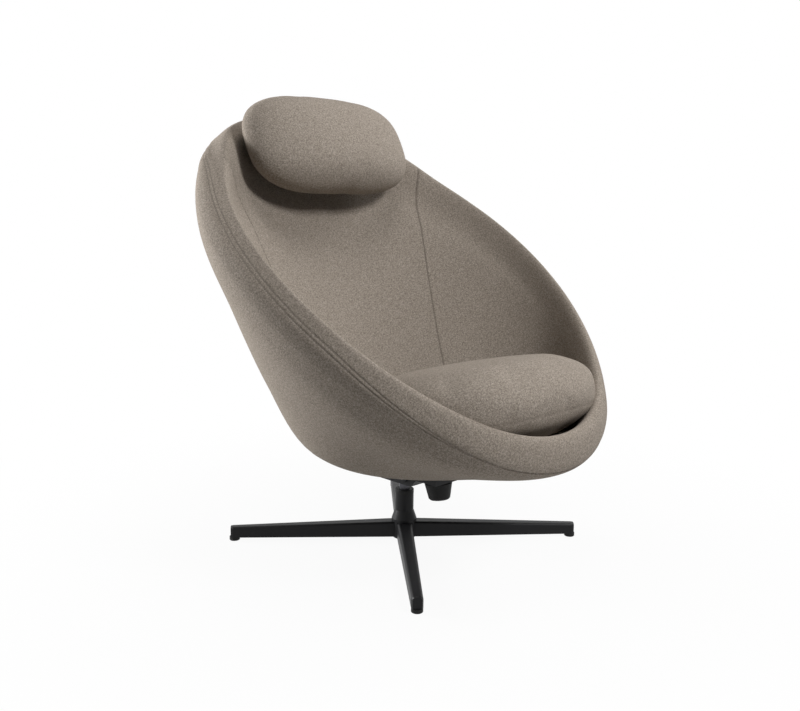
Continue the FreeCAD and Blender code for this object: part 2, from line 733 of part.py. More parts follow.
# Seat board inside the shell, with its tee nuts and the bolts from below.
board_top = seat_plate_top + board_thickness
board = new_body("seat_board")
board_outline = new_sketch(board, "board_outline", at=(0, 0, seat_plate_top))
add_rounded_box(board_outline, board_half_width, board_front, board_rear, board_corner)
pad(board, board_outline, board_thickness)
tee_holes = new_sketch(board, "tee_holes", at=(0, 0, seat_plate_top))
for across, along in seat_bolt_places:
    add_circle(tee_holes, tee_barrel_radius, across, along)
pocket(board, tee_holes, board_thickness, backwards=True)
tee_nuts = new_body("tee_nuts")
seat_bolts = new_body("seat_bolts")
for number, (across, along) in enumerate(seat_bolt_places, 1):
    turned(tee_nuts, "tee_nut_" + str(number), [
        (seat_bolt_radius, seat_plate_top + sheet_steel),
        (tee_barrel_radius, seat_plate_top + sheet_steel),
        (tee_barrel_radius, board_top),
        (tee_flange_radius, board_top),
        (tee_flange_radius, board_top + tee_flange_thickness),
        (seat_bolt_radius, board_top + tee_flange_thickness),
    ], at=(across, 0, -along))
    turned(seat_bolts, "seat_bolt_" + str(number), [
        (0, plate_bottom - seat_bolt_head_height),
        (seat_bolt_head_radius, plate_bottom - seat_bolt_head_height),
        (seat_bolt_head_radius, plate_bottom),
        (seat_bolt_radius, plate_bottom),
        (seat_bolt_radius, board_top),
        (0, board_top),
    ], at=(across, 0, -along))

# Soft forms. Each level of a soft form is an oval of six tangent arcs, blunter at
# one end than at the other, and a form is lofted through its levels.
oval_bend = math.sqrt(0.5) / (math.sqrt(2) - 1)


def add_oval(sketch, length, half_width, belly):
    """Six tangent arcs; the belly is the widest place as a share of the length."""
    ahead = length * belly
    behind = length - ahead
    nose = ahead - (ahead - half_width) * oval_bend
    tail = behind - (behind - half_width) * oval_bend
    front_side = half_width + (ahead - half_width) * oval_bend
    rear_side = half_width + (behind - half_width) * oval_bend
    quarter = math.pi / 4
    pieces = [
        (nose, nose, 0, 3, 5),
        (front_side, ahead, front_side - half_width, 5, 6),
        (rear_side, ahead, rear_side - half_width, 6, 7),
        (tail, length - tail, 0, 7, 9),
        (rear_side, ahead, half_width - rear_side, 1, 2),
        (front_side, ahead, half_width - front_side, 2, 3),
    ]
    arcs = []
    for radius, along, across, start, end in pieces:
        centre = FreeCAD.Vector(value_of(along), value_of(across), 0)
        circle = Part.Circle(centre, FreeCAD.Vector(0, 0, 1), value_of(radius))
        arcs.append(sketch.addGeometry(
            Part.ArcOfCircle(circle, start * quarter, end * quarter), False))
    for arc, following in zip(arcs, arcs[1:] + arcs[:1]):
        constrain(sketch, "Tangent", arc, 2, following, 1)
    for arc, radius in ((arcs[0], nose), (arcs[3], tail)):
        constrain(sketch, "PointOnObject", arc, 3, -1)
        constrain(sketch, "Radius", arc, radius)
    constrain(sketch, "DistanceX", -1, 1, arcs[0], 3, nose)
    constrain(sketch, "DistanceX", -1, 1, arcs[3], 3, length - tail)
    for arc, radius in ((arcs[1], front_side), (arcs[2], rear_side)):
        constrain(sketch, "Radius", arc, radius)
    constrain(sketch, "Equal", arcs[1], arcs[5])
    constrain(sketch, "Equal", arcs[2], arcs[4])
    for arc in (arcs[1], arcs[5]):
        constrain(sketch, "DistanceX", -1, 1, arc, 3, ahead)


def level(name, front_y, front_z, back_y, back_z, half_width, belly):
    """One level of the shell, in shares of the shell's reach, rise and half width."""
    return {
        "name": name,
        "front": (-(shell_front_reach * front_y), shell_foot + shell_rise * front_z),
        "back": (shell_back_reach * back_y, shell_foot + shell_rise * back_z),
        "half_width": shell_half_width * half_width,
        "belly": belly,
    }


def add_level(body, place, inset=0):
    """The level's oval, drawn in by the inset and raised by as much."""
    front_y, front_z = [value_of(part) for part in place["front"]]
    back_y, back_z = [value_of(part) for part in place["back"]]
    slope = math.atan2(back_z - front_z, back_y - front_y)
    span = math.hypot(back_y - front_y, back_z - front_z)
    words = "sqrt(({2} - {0})^2 + ({3} - {1})^2)".format(
        *[words_of(part) for part in place["front"] + place["back"]])
    start = (0,
             front_y + inset * (math.cos(slope) - math.sin(slope)),
             front_z + inset * (math.sin(slope) + math.cos(slope)))
    turn = (FreeCAD.Rotation(FreeCAD.Vector(1, 0, 0), math.degrees(slope))
            * FreeCAD.Rotation(FreeCAD.Vector(0, 0, 1), 90))
    sketch = new_sketch(body, body.Label + "_" + place["name"], at=start, turn=turn)
    add_oval(sketch, Size(span, words) - 2 * inset, place["half_width"] - inset, place["belly"])
    return sketch


def between(first, second, third, fourth):
    """The four-point rule: the place half way between the second and the third."""
    return (second + third) * 0.5625 - (first + fourth) * 0.0625


def refined(levels):
    """Put one more level half way along the curve between each pair of levels."""
    result = []
    last = len(levels) - 1
    for number in range(last):
        four = [levels[max(number - 1, 0)], levels[number], levels[number + 1],
                levels[min(number + 2, last)]]
        halfway = {"name": levels[number]["name"] + "_half", "belly": levels[number]["belly"]}
        for end in ("front", "back"):
            halfway[end] = [between(*[place[end][part] for place in four]) for part in (0, 1)]
        halfway["half_width"] = between(*[place["half_width"] for place in four])
        result += [levels[number], halfway]
    return result + [levels[last]]


def lofted(body, sketches):
    form = body.newObject("PartDesign::AdditiveLoft", body.Label + "_loft")
    form.Profile = sketches[0]
    form.Sections = sketches[1:]
    form.Ruled = True
    return settle(form)


def helper_body(name):
    body = document.addObject("PartDesign::Body", name)
    body.Label = name
    return body


shell_foot = seat_plate_top - size("plate_recess", 6)
outer_levels = [
    level("brow", 0.989, 0.184, 0.869, 0.972, 0.935, 0.52),
    level("seam", 1, 0.108, 0.96, 1, 1, 0.53),
    level("shoulder", 0.97, 0.088, 1, 0.92, 0.963, 0.53),
    level("flank", 0.936, 0.073, 0.864, 0.687, 0.912, 0.52),
    level("hip", 0.708, 0.045, 0.673, 0.365, 0.741, 0.51),
    level("keel", 0.538, 0.025, 0.46, 0.109, 0.579, 0.51),
    level("sole", 0.273, 0, 0.289, 0, 0.278, 0.51),
]
lip_width = size("lip_width", 24)
inner_levels = [
    level("roll", 0.907, 0.161, 0.782, 0.877, 0.861, 0.51),
    level("nape", 0.888, 0.151, 0.667, 0.755, 0.824, 0.51),
    level("back", 0.879, 0.147, 0.5, 0.555, 0.778, 0.51),
    level("waist", 0.872, 0.144, 0.333, 0.355, 0.713, 0.51),
    level("seat", 0.866, 0.142, 0.196, 0.201, 0.676, 0.51),
    level("deck", 0.847, 0.139, 0.1, 0.104, 0.613, 0.51),
]

# The rim bows out between its ends, along an arc in the side view.
rim_radius = size("rim_radius", 7848)
rim_centre_y = size("rim_centre_y", 4622)
rim_centre_z = shell_foot - size("rim_centre_drop", 5894)
trim_reach = size("trim_reach", 600)
trim_top = size("trim_top", 1400)


def trim_rim(body, radius):
    sketch = new_sketch(body, body.Label + "_rim", "YZ_Plane")
    bend = value_of(radius)
    centre = FreeCAD.Vector(rim_centre_y.value, rim_centre_z.value, 0)
    ends = []
    for reach in (trim_reach.value, -trim_reach.value):
        ends.append(math.acos((reach - rim_centre_y.value) / bend))
    arc = sketch.addGeometry(Part.ArcOfCircle(
        Part.Circle(centre, FreeCAD.Vector(0, 0, 1), bend), ends[0], ends[1]), False)
    rear = sketch.getPoint(arc, 1)
    front = sketch.getPoint(arc, 2)
    corners = [front,
               FreeCAD.Vector(-trim_reach.value, trim_top.value, 0),
               FreeCAD.Vector(trim_reach.value, trim_top.value, 0),
               rear]
    lines = []
    for start, end in zip(corners, corners[1:]):
        lines.append(sketch.addGeometry(Part.LineSegment(start, end), False))
    constrain(sketch, "Coincident", arc, 2, lines[0], 1)
    constrain(sketch, "Coincident", lines[0], 2, lines[1], 1)
    constrain(sketch, "Coincident", lines[1], 2, lines[2], 1)
    constrain(sketch, "Coincident", lines[2], 2, arc, 1)
    constrain(sketch, "Vertical", lines[0])
    constrain(sketch, "Vertical", lines[2])
    constrain(sketch, "Radius", arc, radius)
    pin(sketch, arc, 3, rim_centre_y, rim_centre_z)
    pin(sketch, lines[1], 1, -trim_reach, trim_top)
    pin(sketch, lines[1], 2, trim_reach, trim_top)
    pocket(body, sketch, trim_reach * 2, both_ways=True)


def boolean(kind, name, base, *tools):
    """A cut or a common part of earlier forms, kept as one of the pieces."""
    result = base
    for number, tool in enumerate(tools, 1):
        step = document.addObject("Part::" + kind, name + "_step_" + str(number))
        step.Base = result
        step.Tool = tool
        result = settle(step)
    result.Label = name
    solids[name] = result


outside = helper_body("outside_form")
lofted(outside, [add_level(outside, place) for place in refined(outer_levels)])
trim_rim(outside, rim_radius)
lip = dict(outer_levels[0], name="lip")
cavity = helper_body("cavity_form")
lofted(cavity, [add_level(cavity, lip, lip_width.value)]
       + [add_level(cavity, place) for place in inner_levels])

# Rooms left in the underside for the seat plate and for the board.
plate_room = helper_body("plate_room")
plate_room_outline = new_sketch(plate_room, "plate_room_outline", at=(0, 0, nose_bottom))
add_rounded_box(plate_room_outline, recess_half_width, recess_front, recess_rear,
                seat_plate_corner)
pad(plate_room, plate_room_outline, seat_plate_top - nose_bottom)
board_room = helper_body("board_room")
board_room_outline = new_sketch(board_room, "board_room_outline", at=(0, 0, seat_plate_top))
add_rounded_box(board_room_outline, board_half_width, board_front, board_rear, board_corner)
pad(board_room, board_room_outline, board_thickness + fabric)

# Shell: one moulded bowl, upholstered inside and out.
boolean("Cut", "shell_body", outside, cavity, board_room, plate_room)



def padded_form(body, levels, place_level):
    """A crowned pad lofted through outlines that shrink towards its two faces."""
    sketches = []
    for number, (share, scale) in enumerate(levels):
        name = body.Label + "_level_" + str(number)
        sketches.append(place_level(body, name, share, scale))
    lofted(body, sketches)


# Seat cushion: lies on the deck, thickest towards the front.
cushion_half_length = size("cushion_half_length", 218)
cushion_half_width = shell_half_width - size("cushion_side_margin", 150)
cushion_middle_y = size("cushion_set_back", 232) - shell_front_reach
cushion_thickness = size("cushion_thickness", 151)
cushion_crown_slope = -13
cushion_belly = 0.475
cushion_levels = [(0, 0.68), (0.18, 0.88), (0.45, 1), (0.7, 0.96), (0.88, 0.78), (1, 0.42)]
deck = inner_levels[-1]
deck_slope = math.degrees(math.atan2(
    deck["back"][1].value - deck["front"][1].value,
    deck["back"][0].value - deck["front"][0].value))


def cushion_level(body, name, share, scale):
    slope = math.radians(deck_slope + (cushion_crown_slope - deck_slope) * share)
    middle_z = (deck["front"][1].value + cushion_thickness.value * share
                + (cushion_middle_y.value - deck["front"][0].value)
                * math.tan(math.radians(deck_slope)))
    reach = cushion_half_length.value * scale
    start = (0, cushion_middle_y.value - reach * math.cos(slope),
             middle_z - reach * math.sin(slope))
    turn = (FreeCAD.Rotation(FreeCAD.Vector(1, 0, 0), math.degrees(slope))
            * FreeCAD.Rotation(FreeCAD.Vector(0, 0, 1), 90))
    sketch = new_sketch(body, name, at=start, turn=turn)
    add_oval(sketch, cushion_half_length * (2 * scale), cushion_half_width * scale,
             cushion_belly)
    return sketch


# The cushion takes the bowl's form where it presses against its sides.
cushion_form = helper_body("cushion_form")
padded_form(cushion_form, cushion_levels, cushion_level)
boolean("Cut", "seat_cushion", cushion_form, solids["shell_body"])

# Headrest: a pillow hung in front of the top of the back.
headrest_half_width = size("headrest_half_width", 226)
headrest_half_height = size("headrest_half_height", 117.5)
headrest_corner = size("headrest_corner", 103)
headrest_thickness = size("headrest_thickness", 145)
headrest_middle_y = shell_back_reach - size("headrest_ahead", 191.5)
headrest_middle_z = shell_foot + shell_rise - size("headrest_below_top", 58.5)
headrest_slope = 60
headrest_levels = [(0, 0.4), (0.1, 0.67), (0.3, 0.94), (0.7, 0.94), (0.9, 0.67), (1, 0.4)]


def headrest_level(body, name, share, scale):
    slope = math.radians(headrest_slope)
    rise = headrest_thickness.value * (share - 0.5)
    start = (0,
             headrest_middle_y.value - rise * math.sin(slope),
             headrest_middle_z.value + rise * math.cos(slope))
    turn = FreeCAD.Rotation(FreeCAD.Vector(1, 0, 0), headrest_slope)
    sketch = new_sketch(body, name, at=start, turn=turn)
    add_rounded_box(sketch, headrest_half_width * scale, -(headrest_half_height * scale),
                    headrest_half_height * scale, headrest_corner * scale)
    return sketch


padded_form(new_body("headrest"), headrest_levels, headrest_level)

# Grip pad: fills the gap between the back and the flat rear face of the headrest.
grip_half_width = size("grip_half_width", 45)
grip_half_height = size("grip_half_height", 30)
grip_depth = size("grip_depth", 60)
rear_face_slope = math.radians(headrest_slope)
rear_face_gap = headrest_thickness.value / 2 + side_gap.value
grip_blank = helper_body("grip_blank")
grip_outline = new_sketch(
    grip_blank, "grip_outline",
    at=(0,
        headrest_middle_y.value + rear_face_gap * math.sin(rear_face_slope),
        headrest_middle_z.value - rear_face_gap * math.cos(rear_face_slope)),
    turn=FreeCAD.Rotation(FreeCAD.Vector(1, 0, 0), headrest_slope))
add_rounded_box(grip_outline, grip_half_width, -grip_half_height, grip_half_height, ear_radius)
pad(grip_blank, grip_outline, grip_depth, backwards=True)
boolean("Common", "headrest_grip", grip_blank, cavity)

# Everything must be sound before it is written out, one file for each piece.
document.recompute()
for item in document.Objects:
    if "Invalid" in item.State or "Error" in item.State:
        raise ValueError(item.Label + " did not recompute")
for name, item in solids.items():
    if item.Shape.isNull() or not item.Shape.isValid() or not item.Shape.Solids:
        raise ValueError(name + " is not a sound solid")
os.makedirs("parts", exist_ok=True)
for name, item in solids.items():
    item.Shape.exportStep(os.path.join("parts", name + ".step"))
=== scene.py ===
import bmesh
import bpy
import math
from mathutils import Matrix, Vector


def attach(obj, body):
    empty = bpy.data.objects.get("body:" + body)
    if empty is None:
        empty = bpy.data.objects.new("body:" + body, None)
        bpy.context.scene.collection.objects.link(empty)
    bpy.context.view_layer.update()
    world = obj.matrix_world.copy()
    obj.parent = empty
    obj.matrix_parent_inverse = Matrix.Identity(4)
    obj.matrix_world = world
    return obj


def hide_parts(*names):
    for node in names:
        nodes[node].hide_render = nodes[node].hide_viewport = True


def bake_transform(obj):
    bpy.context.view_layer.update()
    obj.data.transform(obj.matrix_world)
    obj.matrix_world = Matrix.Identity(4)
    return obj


# A swivelling lounge chair: black four-legged base, tilting seat mechanism, bowl seat
# upholstered in heathered wool, with a loose seat cushion and a pillow headrest.
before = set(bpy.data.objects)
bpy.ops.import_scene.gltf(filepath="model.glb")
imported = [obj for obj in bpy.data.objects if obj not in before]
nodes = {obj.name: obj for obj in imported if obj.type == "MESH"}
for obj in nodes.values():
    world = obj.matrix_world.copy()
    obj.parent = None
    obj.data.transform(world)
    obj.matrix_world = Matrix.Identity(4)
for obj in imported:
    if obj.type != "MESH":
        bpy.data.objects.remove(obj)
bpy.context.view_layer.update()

# Base hub and legs: a cast hub with four tapering aluminium legs screwed into it. All of it
# is powder-coated matt black, with the fine orange-peel texture that such a coat has.


def grain_group():
    """Fine grain and broad mottling from a place on the piece, for coats and mouldings."""
    group = bpy.data.node_groups.new("surface_grain", "ShaderNodeTree")
    for name, kind in (("Place", "NodeSocketVector"), ("Grain Scale", "NodeSocketFloat"),
                       ("Dark", "NodeSocketColor"), ("Light", "NodeSocketColor"),
                       ("Smooth", "NodeSocketFloat"), ("Rough", "NodeSocketFloat")):
        group.interface.new_socket(name, in_out="INPUT", socket_type=kind)
    for name, kind in (("Colour", "NodeSocketColor"), ("Roughness", "NodeSocketFloat"),
                       ("Height", "NodeSocketFloat")):
        group.interface.new_socket(name, in_out="OUTPUT", socket_type=kind)
    add = group.nodes.new
    join = group.links.new
    entry = add("NodeGroupInput")
    leave = add("NodeGroupOutput")
    grain = add("ShaderNodeTexNoise")
    grain.inputs["Detail"].default_value = 3
    join(entry.outputs["Place"], grain.inputs["Vector"])
    join(entry.outputs["Grain Scale"], grain.inputs["Scale"])
    patches = add("ShaderNodeTexNoise")
    patches.inputs["Scale"].default_value = 38
    patches.inputs["Detail"].default_value = 4
    join(entry.outputs["Place"], patches.inputs["Vector"])
    colour = add("ShaderNodeMix")
    colour.data_type = "RGBA"
    join(patches.outputs["Fac"], colour.inputs["Factor"])
    join(entry.outputs["Dark"], colour.inputs["A"])
    join(entry.outputs["Light"], colour.inputs["B"])
    polish = add("ShaderNodeMapRange")
    join(patches.outputs["Fac"], polish.inputs["Value"])
    join(entry.outputs["Smooth"], polish.inputs["To Min"])
    join(entry.outputs["Rough"], polish.inputs["To Max"])
    join(colour.outputs["Result"], leave.inputs["Colour"])
    join(polish.outputs["Result"], leave.inputs["Roughness"])
    join(grain.outputs["Fac"], leave.inputs["Height"])
    return group


surface_grain = grain_group()


def grained(name, dark, light, smooth, rough, grain_scale, relief, metallic=0.0):
    """A coat, moulding or bare metal with its own grain, gloss and relief."""
    material = bpy.data.materials.new(name)
    material.use_nodes = True
    tree = material.node_tree
    shader = tree.nodes["Principled BSDF"]
    shader.inputs["Metallic"].default_value = metallic
    shader.inputs["Specular IOR Level"].default_value = 0.5 if metallic else 0.2
    place = tree.nodes.new("ShaderNodeTexCoord")
    grain = tree.nodes.new("ShaderNodeGroup")
    grain.node_tree = surface_grain
    grain.inputs["Grain Scale"].default_value = grain_scale
    grain.inputs["Dark"].default_value = (*dark, 1)
    grain.inputs["Light"].default_value = (*light, 1)
    grain.inputs["Smooth"].default_value = smooth
    grain.inputs["Rough"].default_value = rough
    bump = tree.nodes.new("ShaderNodeBump")
    bump.inputs["Strength"].default_value = 0.4
    bump.inputs["Distance"].default_value = relief
    tree.links.new(place.outputs["Object"], grain.inputs["Place"])
    tree.links.new(grain.outputs["Colour"], shader.inputs["Base Color"])
    tree.links.new(grain.outputs["Roughness"], shader.inputs["Roughness"])
    tree.links.new(grain.outputs["Height"], bump.inputs["Height"])
    tree.links.new(bump.outputs["Normal"], shader.inputs["Normal"])
    return material


def coat(material, *names):
    """Give CAD nodes their finish."""
    for name in names:
        nodes[name].data.materials.clear()
        nodes[name].data.materials.append(material)


powder_coat = grained("powder_coat", (0.006, 0.006, 0.007), (0.011, 0.011, 0.012),
                      0.38, 0.52, 1500, 0.0001)
coat(powder_coat, "base_hub", "leg_front_left", "leg_rear_left", "leg_rear_right",
     "leg_front_right", "tilt_housing", "seat_plate")

# Glides, cap and sleeves: turned and moulded black nylon. The glides press into the legs'
# ends, the cap closes the hub from below, and the sleeves guide the spindle.
moulded_nylon = grained("moulded_nylon", (0.007, 0.007, 0.007), (0.014, 0.014, 0.014),
                        0.45, 0.6, 2600, 0.00008)
coat(moulded_nylon, "glide_front_left", "glide_rear_left", "glide_rear_right",
     "glide_front_right", "hub_cap", "lower_sleeve", "upper_sleeve",
     "tilt_bush_right", "tilt_bush_left")

# Screws, washers, axle and nuts: bright zinc-plated steel, with the dull sheen of plating.
zinc_plate = grained("zinc_plate", (0.33, 0.33, 0.34), (0.5, 0.5, 0.51),
                     0.28, 0.42, 900, 0.00005, metallic=1.0)
coat(zinc_plate, "leg_screws", "thrust_washer", "spindle_washer", "spindle_screw",
     "tilt_axle", "axle_clips", "tension_screw", "knob_washer", "tension_nut", "tee_nuts",
     "seat_bolts")

# Spindle: a turned column of blackened steel, bare between the collar and the channel.
spring_steel = grained("spring_steel", (0.05, 0.05, 0.055), (0.09, 0.09, 0.1),
                       0.3, 0.5, 700, 0.00005, metallic=1.0)
coat(spring_steel, "tension_spring", "spindle")

# Tension spring: blackened wire wound round the tilt axle. One leg lies over the nut and the
# other under the seat plate, and the coil is parted at the chair's middle into a half for each
# leg.
wire_edge_angle = math.radians(40)


def finished(name, bm, material):
    """Keep a bmesh as a smooth-shaded piece of the scene."""
    mesh = bpy.data.meshes.new(name)
    bm.to_mesh(mesh)
    bm.free()
    mesh.materials.append(material)
    mesh.shade_smooth()
    piece = bpy.data.objects.new(name, mesh)
    bpy.context.scene.collection.objects.link(piece)
    return piece


def spring_half(name, side):
    """The half of the spring on one side of the chair's middle, closed where it is parted."""
    bm = bmesh.new()
    bm.from_mesh(nodes["tension_spring"].data)
    bmesh.ops.remove_doubles(bm, verts=bm.verts, dist=0.000001)
    cut = bmesh.ops.bisect_plane(bm, geom=[*bm.verts, *bm.edges, *bm.faces],
                                 dist=0.00001, plane_co=(0, 0, 0), plane_no=(side, 0, 0),
                                 use_snap_center=True, clear_inner=True)
    rims = [part for part in cut["geom_cut"]
            if isinstance(part, bmesh.types.BMEdge) and part.is_boundary]
    bmesh.ops.bridge_loops(bm, edges=rims)
    bmesh.ops.dissolve_degenerate(bm, edges=bm.edges, dist=0.00001)
    bmesh.ops.recalc_face_normals(bm, faces=bm.faces)
    half = finished(name, bm, spring_steel)
    half.data.set_sharp_from_angle(angle=wire_edge_angle)
    return half


nut_leg = spring_half("tension_spring_nut_leg", -1)
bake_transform(nut_leg)
plate_leg = spring_half("tension_spring_plate_leg", 1)
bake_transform(plate_leg)
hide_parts("tension_spring")

# Buffers in the nose of the channel: black rubber on which the upright seat rests.
buffer_rubber = grained("buffer_rubber", (0.012, 0.012, 0.012), (0.022, 0.022, 0.021),
                        0.7, 0.85, 1200, 0.0001)
coat(buffer_rubber, "front_bumpers")

# Tension knob: a moulded black hand wheel that tapers downwards, with finger ribs.
coat(moulded_nylon, "tension_knob")

# Seat board: plywood moulded into the bottom of the bowl, stained black where it shows.
stained_plywood = grained("stained_plywood", (0.012, 0.010, 0.009), (0.030, 0.026, 0.022),
                          0.6, 0.75, 260, 0.0002)
coat(stained_plywood, "seat_board")

# Bowl: moulded foam on a hard shell, covered inside and out with heathered wool. The cover
# turns over the rim and is joined by a double-stitched seam just below it; inside, two seams
# part the back from the sides.


def weave_group():
    """Plain weave from three sides, with the mixed light and dark fibres of its yarn."""
    group = bpy.data.node_groups.new("heathered_weave", "ShaderNodeTree")
    for name, kind in (("Place", "NodeSocketVector"), ("Facing", "NodeSocketVector"),
                       ("Yarns Per Metre", "NodeSocketFloat"), ("Dark", "NodeSocketColor"),
                       ("Middle", "NodeSocketColor"), ("Light", "NodeSocketColor")):
        group.interface.new_socket(name, in_out="INPUT", socket_type=kind)
    for name, kind in (("Colour", "NodeSocketColor"), ("Height", "NodeSocketFloat")):
        group.interface.new_socket(name, in_out="OUTPUT", socket_type=kind)
    add = group.nodes.new
    join = group.links.new

    def maths(operation, first, second=None):
        node = add("ShaderNodeMath")
        node.operation = operation
        for socket, value in zip(node.inputs, (first, second)):
            if isinstance(value, (int, float)):
                socket.default_value = value
            elif value is not None:
                join(value, socket)
        return node.outputs[0]

    entry = add("NodeGroupInput")
    leave = add("NodeGroupOutput")
    stray = add("ShaderNodeTexNoise")
    stray.inputs["Scale"].default_value = 120
    join(entry.outputs["Place"], stray.inputs["Vector"])
    sway = add("ShaderNodeVectorMath")
    sway.operation = "MULTIPLY_ADD"
    sway.inputs[1].default_value = (0.0012, 0.0012, 0.0012)
    join(stray.outputs["Color"], sway.inputs[0])
    join(entry.outputs["Place"], sway.inputs[2])
    place = add("ShaderNodeSeparateXYZ")
    join(sway.outputs[0], place.inputs[0])
    facing = add("ShaderNodeSeparateXYZ")
    join(entry.outputs["Facing"], facing.inputs[0])
    turns = maths("MULTIPLY", entry.outputs["Yarns Per Metre"], math.pi)
    waves = [maths("SINE", maths("MULTIPLY", axis, turns)) for axis in place.outputs]
    shares = [maths("POWER", maths("ABSOLUTE", axis), 3) for axis in facing.outputs]
    crossings = [maths("MULTIPLY", waves[1], waves[2]), maths("MULTIPLY", waves[0], waves[2]),
                 maths("MULTIPLY", waves[0], waves[1])]
    parts = [maths("MULTIPLY", share, wave) for share, wave in zip(shares, crossings)]
    whole = maths("ADD", maths("ADD", shares[0], shares[1]), shares[2])
    weave = maths("DIVIDE", maths("ADD", maths("ADD", parts[0], parts[1]), parts[2]), whole)
    fibres = add("ShaderNodeTexNoise")
    fibres.inputs["Scale"].default_value = 780
    fibres.inputs["Detail"].default_value = 1
    join(entry.outputs["Place"], fibres.inputs["Vector"])
    patches = add("ShaderNodeTexNoise")
    patches.inputs["Scale"].default_value = 330
    patches.inputs["Detail"].default_value = 2
    join(entry.outputs["Place"], patches.inputs["Vector"])
    fibre_part = maths("MULTIPLY", fibres.outputs["Fac"], 0.9)
    patch_part = maths("MULTIPLY", patches.outputs["Fac"], 1.1)
    yarn_part = maths("MULTIPLY", weave, 0.06)
    shade = maths("ADD", maths("ADD", fibre_part, patch_part), yarn_part)
    lower = add("ShaderNodeMapRange")
    lower.inputs["From Min"].default_value = 0.70
    lower.inputs["From Max"].default_value = 1.0
    join(shade, lower.inputs["Value"])
    upper = add("ShaderNodeMapRange")
    upper.inputs["From Min"].default_value = 1.0
    upper.inputs["From Max"].default_value = 1.30
    join(shade, upper.inputs["Value"])
    darker = add("ShaderNodeMix")
    darker.data_type = "RGBA"
    join(lower.outputs["Result"], darker.inputs["Factor"])
    join(entry.outputs["Dark"], darker.inputs["A"])
    join(entry.outputs["Middle"], darker.inputs["B"])
    lighter = add("ShaderNodeMix")
    lighter.data_type = "RGBA"
    join(upper.outputs["Result"], lighter.inputs["Factor"])
    join(darker.outputs["Result"], lighter.inputs["A"])
    join(entry.outputs["Light"], lighter.inputs["B"])
    join(lighter.outputs["Result"], leave.inputs["Colour"])
    join(maths("ADD", maths("MULTIPLY", weave, 0.5), fibres.outputs["Fac"]),
         leave.inputs["Height"])
    return group


heathered_weave = weave_group()


def woven(name, dark, middle, light, yarns=620, relief=0.0004):
    """Upholstery wool: matt, a little fuzzy, mixed from three shades of fibre, with painted
    shade down in its seams, darker where the mesh's shade attribute says so."""
    material = bpy.data.materials.new(name)
    material.use_nodes = True
    tree = material.node_tree
    shader = tree.nodes["Principled BSDF"]
    shader.inputs["Roughness"].default_value = 0.92
    shader.inputs["Specular IOR Level"].default_value = 0.2
    shader.inputs["Sheen Weight"].default_value = 0.12
    shader.inputs["Sheen Roughness"].default_value = 0.5
    shader.inputs["Sheen Tint"].default_value = (*light, 1)
    place = tree.nodes.new("ShaderNodeTexCoord")
    weave = tree.nodes.new("ShaderNodeGroup")
    weave.node_tree = heathered_weave
    weave.inputs["Yarns Per Metre"].default_value = yarns
    weave.inputs["Dark"].default_value = (*dark, 1)
    weave.inputs["Middle"].default_value = (*middle, 1)
    weave.inputs["Light"].default_value = (*light, 1)
    bump = tree.nodes.new("ShaderNodeBump")
    bump.inputs["Strength"].default_value = 0.5
    bump.inputs["Distance"].default_value = relief
    # Painted shade: where the mesh's attribute says, the wool's colour is mixed towards half
    # its dark shade, standing in for shade in the seams' furrows.
    seam_painted_shade = tree.nodes.new("ShaderNodeAttribute")
    seam_painted_shade.attribute_name = "seam_painted_shade"
    seam_shade_mix = tree.nodes.new("ShaderNodeMix")
    seam_shade_mix.data_type = "RGBA"
    seam_shade_mix.inputs["B"].default_value = (*[part / 2 for part in dark], 1)
    tree.links.new(place.outputs["Object"], weave.inputs["Place"])
    tree.links.new(place.outputs["Normal"], weave.inputs["Facing"])
    tree.links.new(seam_painted_shade.outputs["Fac"], seam_shade_mix.inputs["Factor"])
    tree.links.new(weave.outputs["Colour"], seam_shade_mix.inputs["A"])
    tree.links.new(seam_shade_mix.outputs["Result"], shader.inputs["Base Color"])
    tree.links.new(weave.outputs["Height"], bump.inputs["Height"])
    tree.links.new(bump.outputs["Normal"], shader.inputs["Normal"])
    return material


taupe_wool = woven("taupe_wool", (0.165, 0.137, 0.110), (0.268, 0.230, 0.192),
                   (0.40, 0.352, 0.303))

# The bowl is shaped by ovals, from its sole to its brow outside and from its lip to the deck
# inside, each given from front to back: (y, z) of both ends, half width and belly.
front_reach = 0.439
back_reach = 0.450
half_width = 0.432
rise = 0.750
foot = 0.184


def oval(front_y, front_z, back_y, back_z, width, belly):
    """A level of the bowl, from shares of its reach, rise and half width."""
    return (-front_reach * front_y, foot + rise * front_z,
            back_reach * back_y, foot + rise * back_z, half_width * width, belly)


def drawn_in(level, inset):
    """The same oval set inwards and raised by the inset."""
    front_y, front_z, back_y, back_z, width, belly = level
    slope = math.atan2(back_z - front_z, back_y - front_y)
    span = math.hypot(back_y - front_y, back_z - front_z) - 2 * inset
    start_y = front_y + inset * (math.cos(slope) - math.sin(slope))
    start_z = front_z + inset * (math.sin(slope) + math.cos(slope))
    return (start_y, start_z, start_y + span * math.cos(slope),
            start_z + span * math.sin(slope), width - inset, belly)


